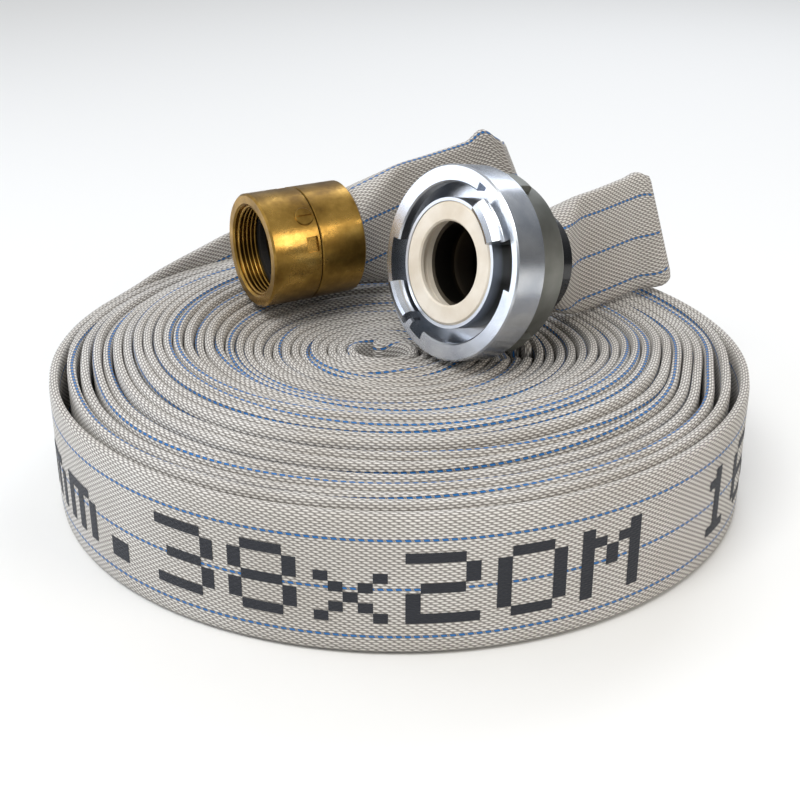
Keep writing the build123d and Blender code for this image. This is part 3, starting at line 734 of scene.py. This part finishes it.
def close_ends(built):
    """Caps open ends and turns the faces outwards."""
    work = bmesh.new()
    work.from_mesh(built.data)
    bmesh.ops.holes_fill(work, edges=[edge for edge in work.edges if edge.is_boundary])
    bmesh.ops.remove_doubles(work, verts=work.verts, dist=1e-7)
    bmesh.ops.recalc_face_normals(work, faces=work.faces)
    work.to_mesh(built.data)
    work.free()


brass = cast_brass()
thread_ridges(brass)

# --------------------------------------------------------------- CAD materials
aluminium = turned_aluminium()
pipe_metal = cast_aluminium()
steel = drawn_steel()
# EPDM lining and gaskets: black, matt from talc
lining = moulded("epdm_lining", "#2a2826", "#1d1c1b", 0.6, 900.0, 0.08)
# face seal: cream nitrile with a fine ground face
seal = moulded("cream_nitrile_seal", "#efe6d6", "#ddd0bb", 0.55, 1200.0, 0.06)
# binding sleeve: glossy black heat-shrunk rubber over the wire
sleeve = moulded("shrunk_rubber_sleeve", "#17181a", "#0e0f10", 0.22, 260.0, 0.10, 0.4)
# slide ring: natural nylon
nylon = moulded("natural_nylon", "#d9d4c6", "#c9c3b3", 0.4, 800.0, 0.04)

paint("storz_claw_ring", aluminium)
paint("storz_tail_pipe", pipe_metal)
paint("storz_face_seal", seal)
paint("storz_snap_ring", steel)
paint("storz_slide_ring", nylon)
paint("storz_binding_wire", steel)
paint("storz_binding_sleeve", sleeve)
paint("storz_end_lining", lining)
paint("brass_end_lining", lining)
paint("tail_gasket", lining)
paint("nut_gasket", lining)
paint("bearing_balls", steel)
for node in ("brass_swivel_nut", "ball_filler_plug", "brass_bowl", "expansion_ring"):
    paint(node, brass)


# ----------------------------------------------------------- floor and lights
def floor():
    """A wide pale floor."""
    made, tree = material("pale_floor")
    finish_surface(tree, {"Base Color": colour("#f1f1ef"), "Roughness": 0.6})
    mesh = bpy.data.meshes.new("floor")
    mesh.from_pydata([(-6, -6, 0), (6, -6, 0), (6, 6, 0), (-6, 6, 0)], [], [(0, 1, 2, 3)])
    mesh.materials.append(made)
    built = bpy.data.objects.new("floor", mesh)
    bpy.context.scene.collection.objects.link(built)
    return built


def softbox(name, place, size, watts, tint="#ffffff"):
    """A square soft light that faces the hose."""
    data = bpy.data.lights.new(name, "AREA")
    data.shape = "SQUARE"
    data.size = size
    data.energy = watts
    data.color = colour(tint)[:3]
    built = bpy.data.objects.new(name, data)
    built.location = place
    built.rotation_euler = (Vector((0, 0, 0.06)) - Vector(place)).to_track_quat("-Z", "Y").to_euler()
    bpy.context.scene.collection.objects.link(built)
    return built


def world():
    """Pale studio: bright above, dimmer near the floor's edge."""
    made = bpy.data.worlds.new("studio")
    made.use_nodes = True
    tree = made.node_tree
    tree.nodes.clear()
    place = add(tree, "ShaderNodeTexCoord")
    axes = add(tree, "ShaderNodeSeparateXYZ", {0: place.outputs["Generated"]})
    leftwards = add(tree, "ShaderNodeMath", {0: axes.outputs[0], 1: -0.35, 2: axes.outputs[2]},
                    operation="MULTIPLY_ADD")
    rise = add(tree, "ShaderNodeMapRange", {0: leftwards, 1: -0.4, 2: 0.9})
    tone = stops(add(tree, "ShaderNodeValToRGB", {0: rise}), (0.0, "#4c4e50"), (0.35, "#8b8e92"),
                 (0.6, "#dfe2e6"), (1.0, "#ffffff"))
    sky = add(tree, "ShaderNodeBackground", {"Color": tone, "Strength": 0.65})
    add(tree, "ShaderNodeOutputWorld", {"Surface": sky})
    bpy.context.scene.world = made


world()
floor()
softbox("key", (-0.5, -0.9, 1.6), 0.9, 17.0)
softbox("left", (-1.3, 0.15, 0.45), 1.0, 6.5, "#eaf1ff")
softbox("right", (1.3, -0.9, 0.9), 0.8, 8.0, "#fff3e4")
softbox("back", (0.5, 1.3, 1.3), 0.8, 8.5, "#eef4ff")

# --------------------------------------------------------------------- camera
AIM = Vector((0, 0, 0.033))
LENS = 61.28                 # mm, on a 36 mm sensor
SHIFT = (0.33 / 800, 6.03 / 800)    # shares of the sensor width
camera = bpy.data.objects.new("camera", bpy.data.cameras.new("camera"))
camera.location = (0, -0.64475, 0.33488)
camera.rotation_euler = (AIM - camera.location).to_track_quat("-Z", "Y").to_euler()
camera.data.lens = LENS
camera.data.sensor_width = 36
camera.data.shift_x, camera.data.shift_y = SHIFT
camera.data.clip_start = 0.01
camera.data.clip_end = 20
bpy.context.scene.collection.objects.link(camera)
bpy.context.scene.camera = camera

view = bpy.context.scene.view_settings
view.view_transform = "Standard"
view.look = "None"
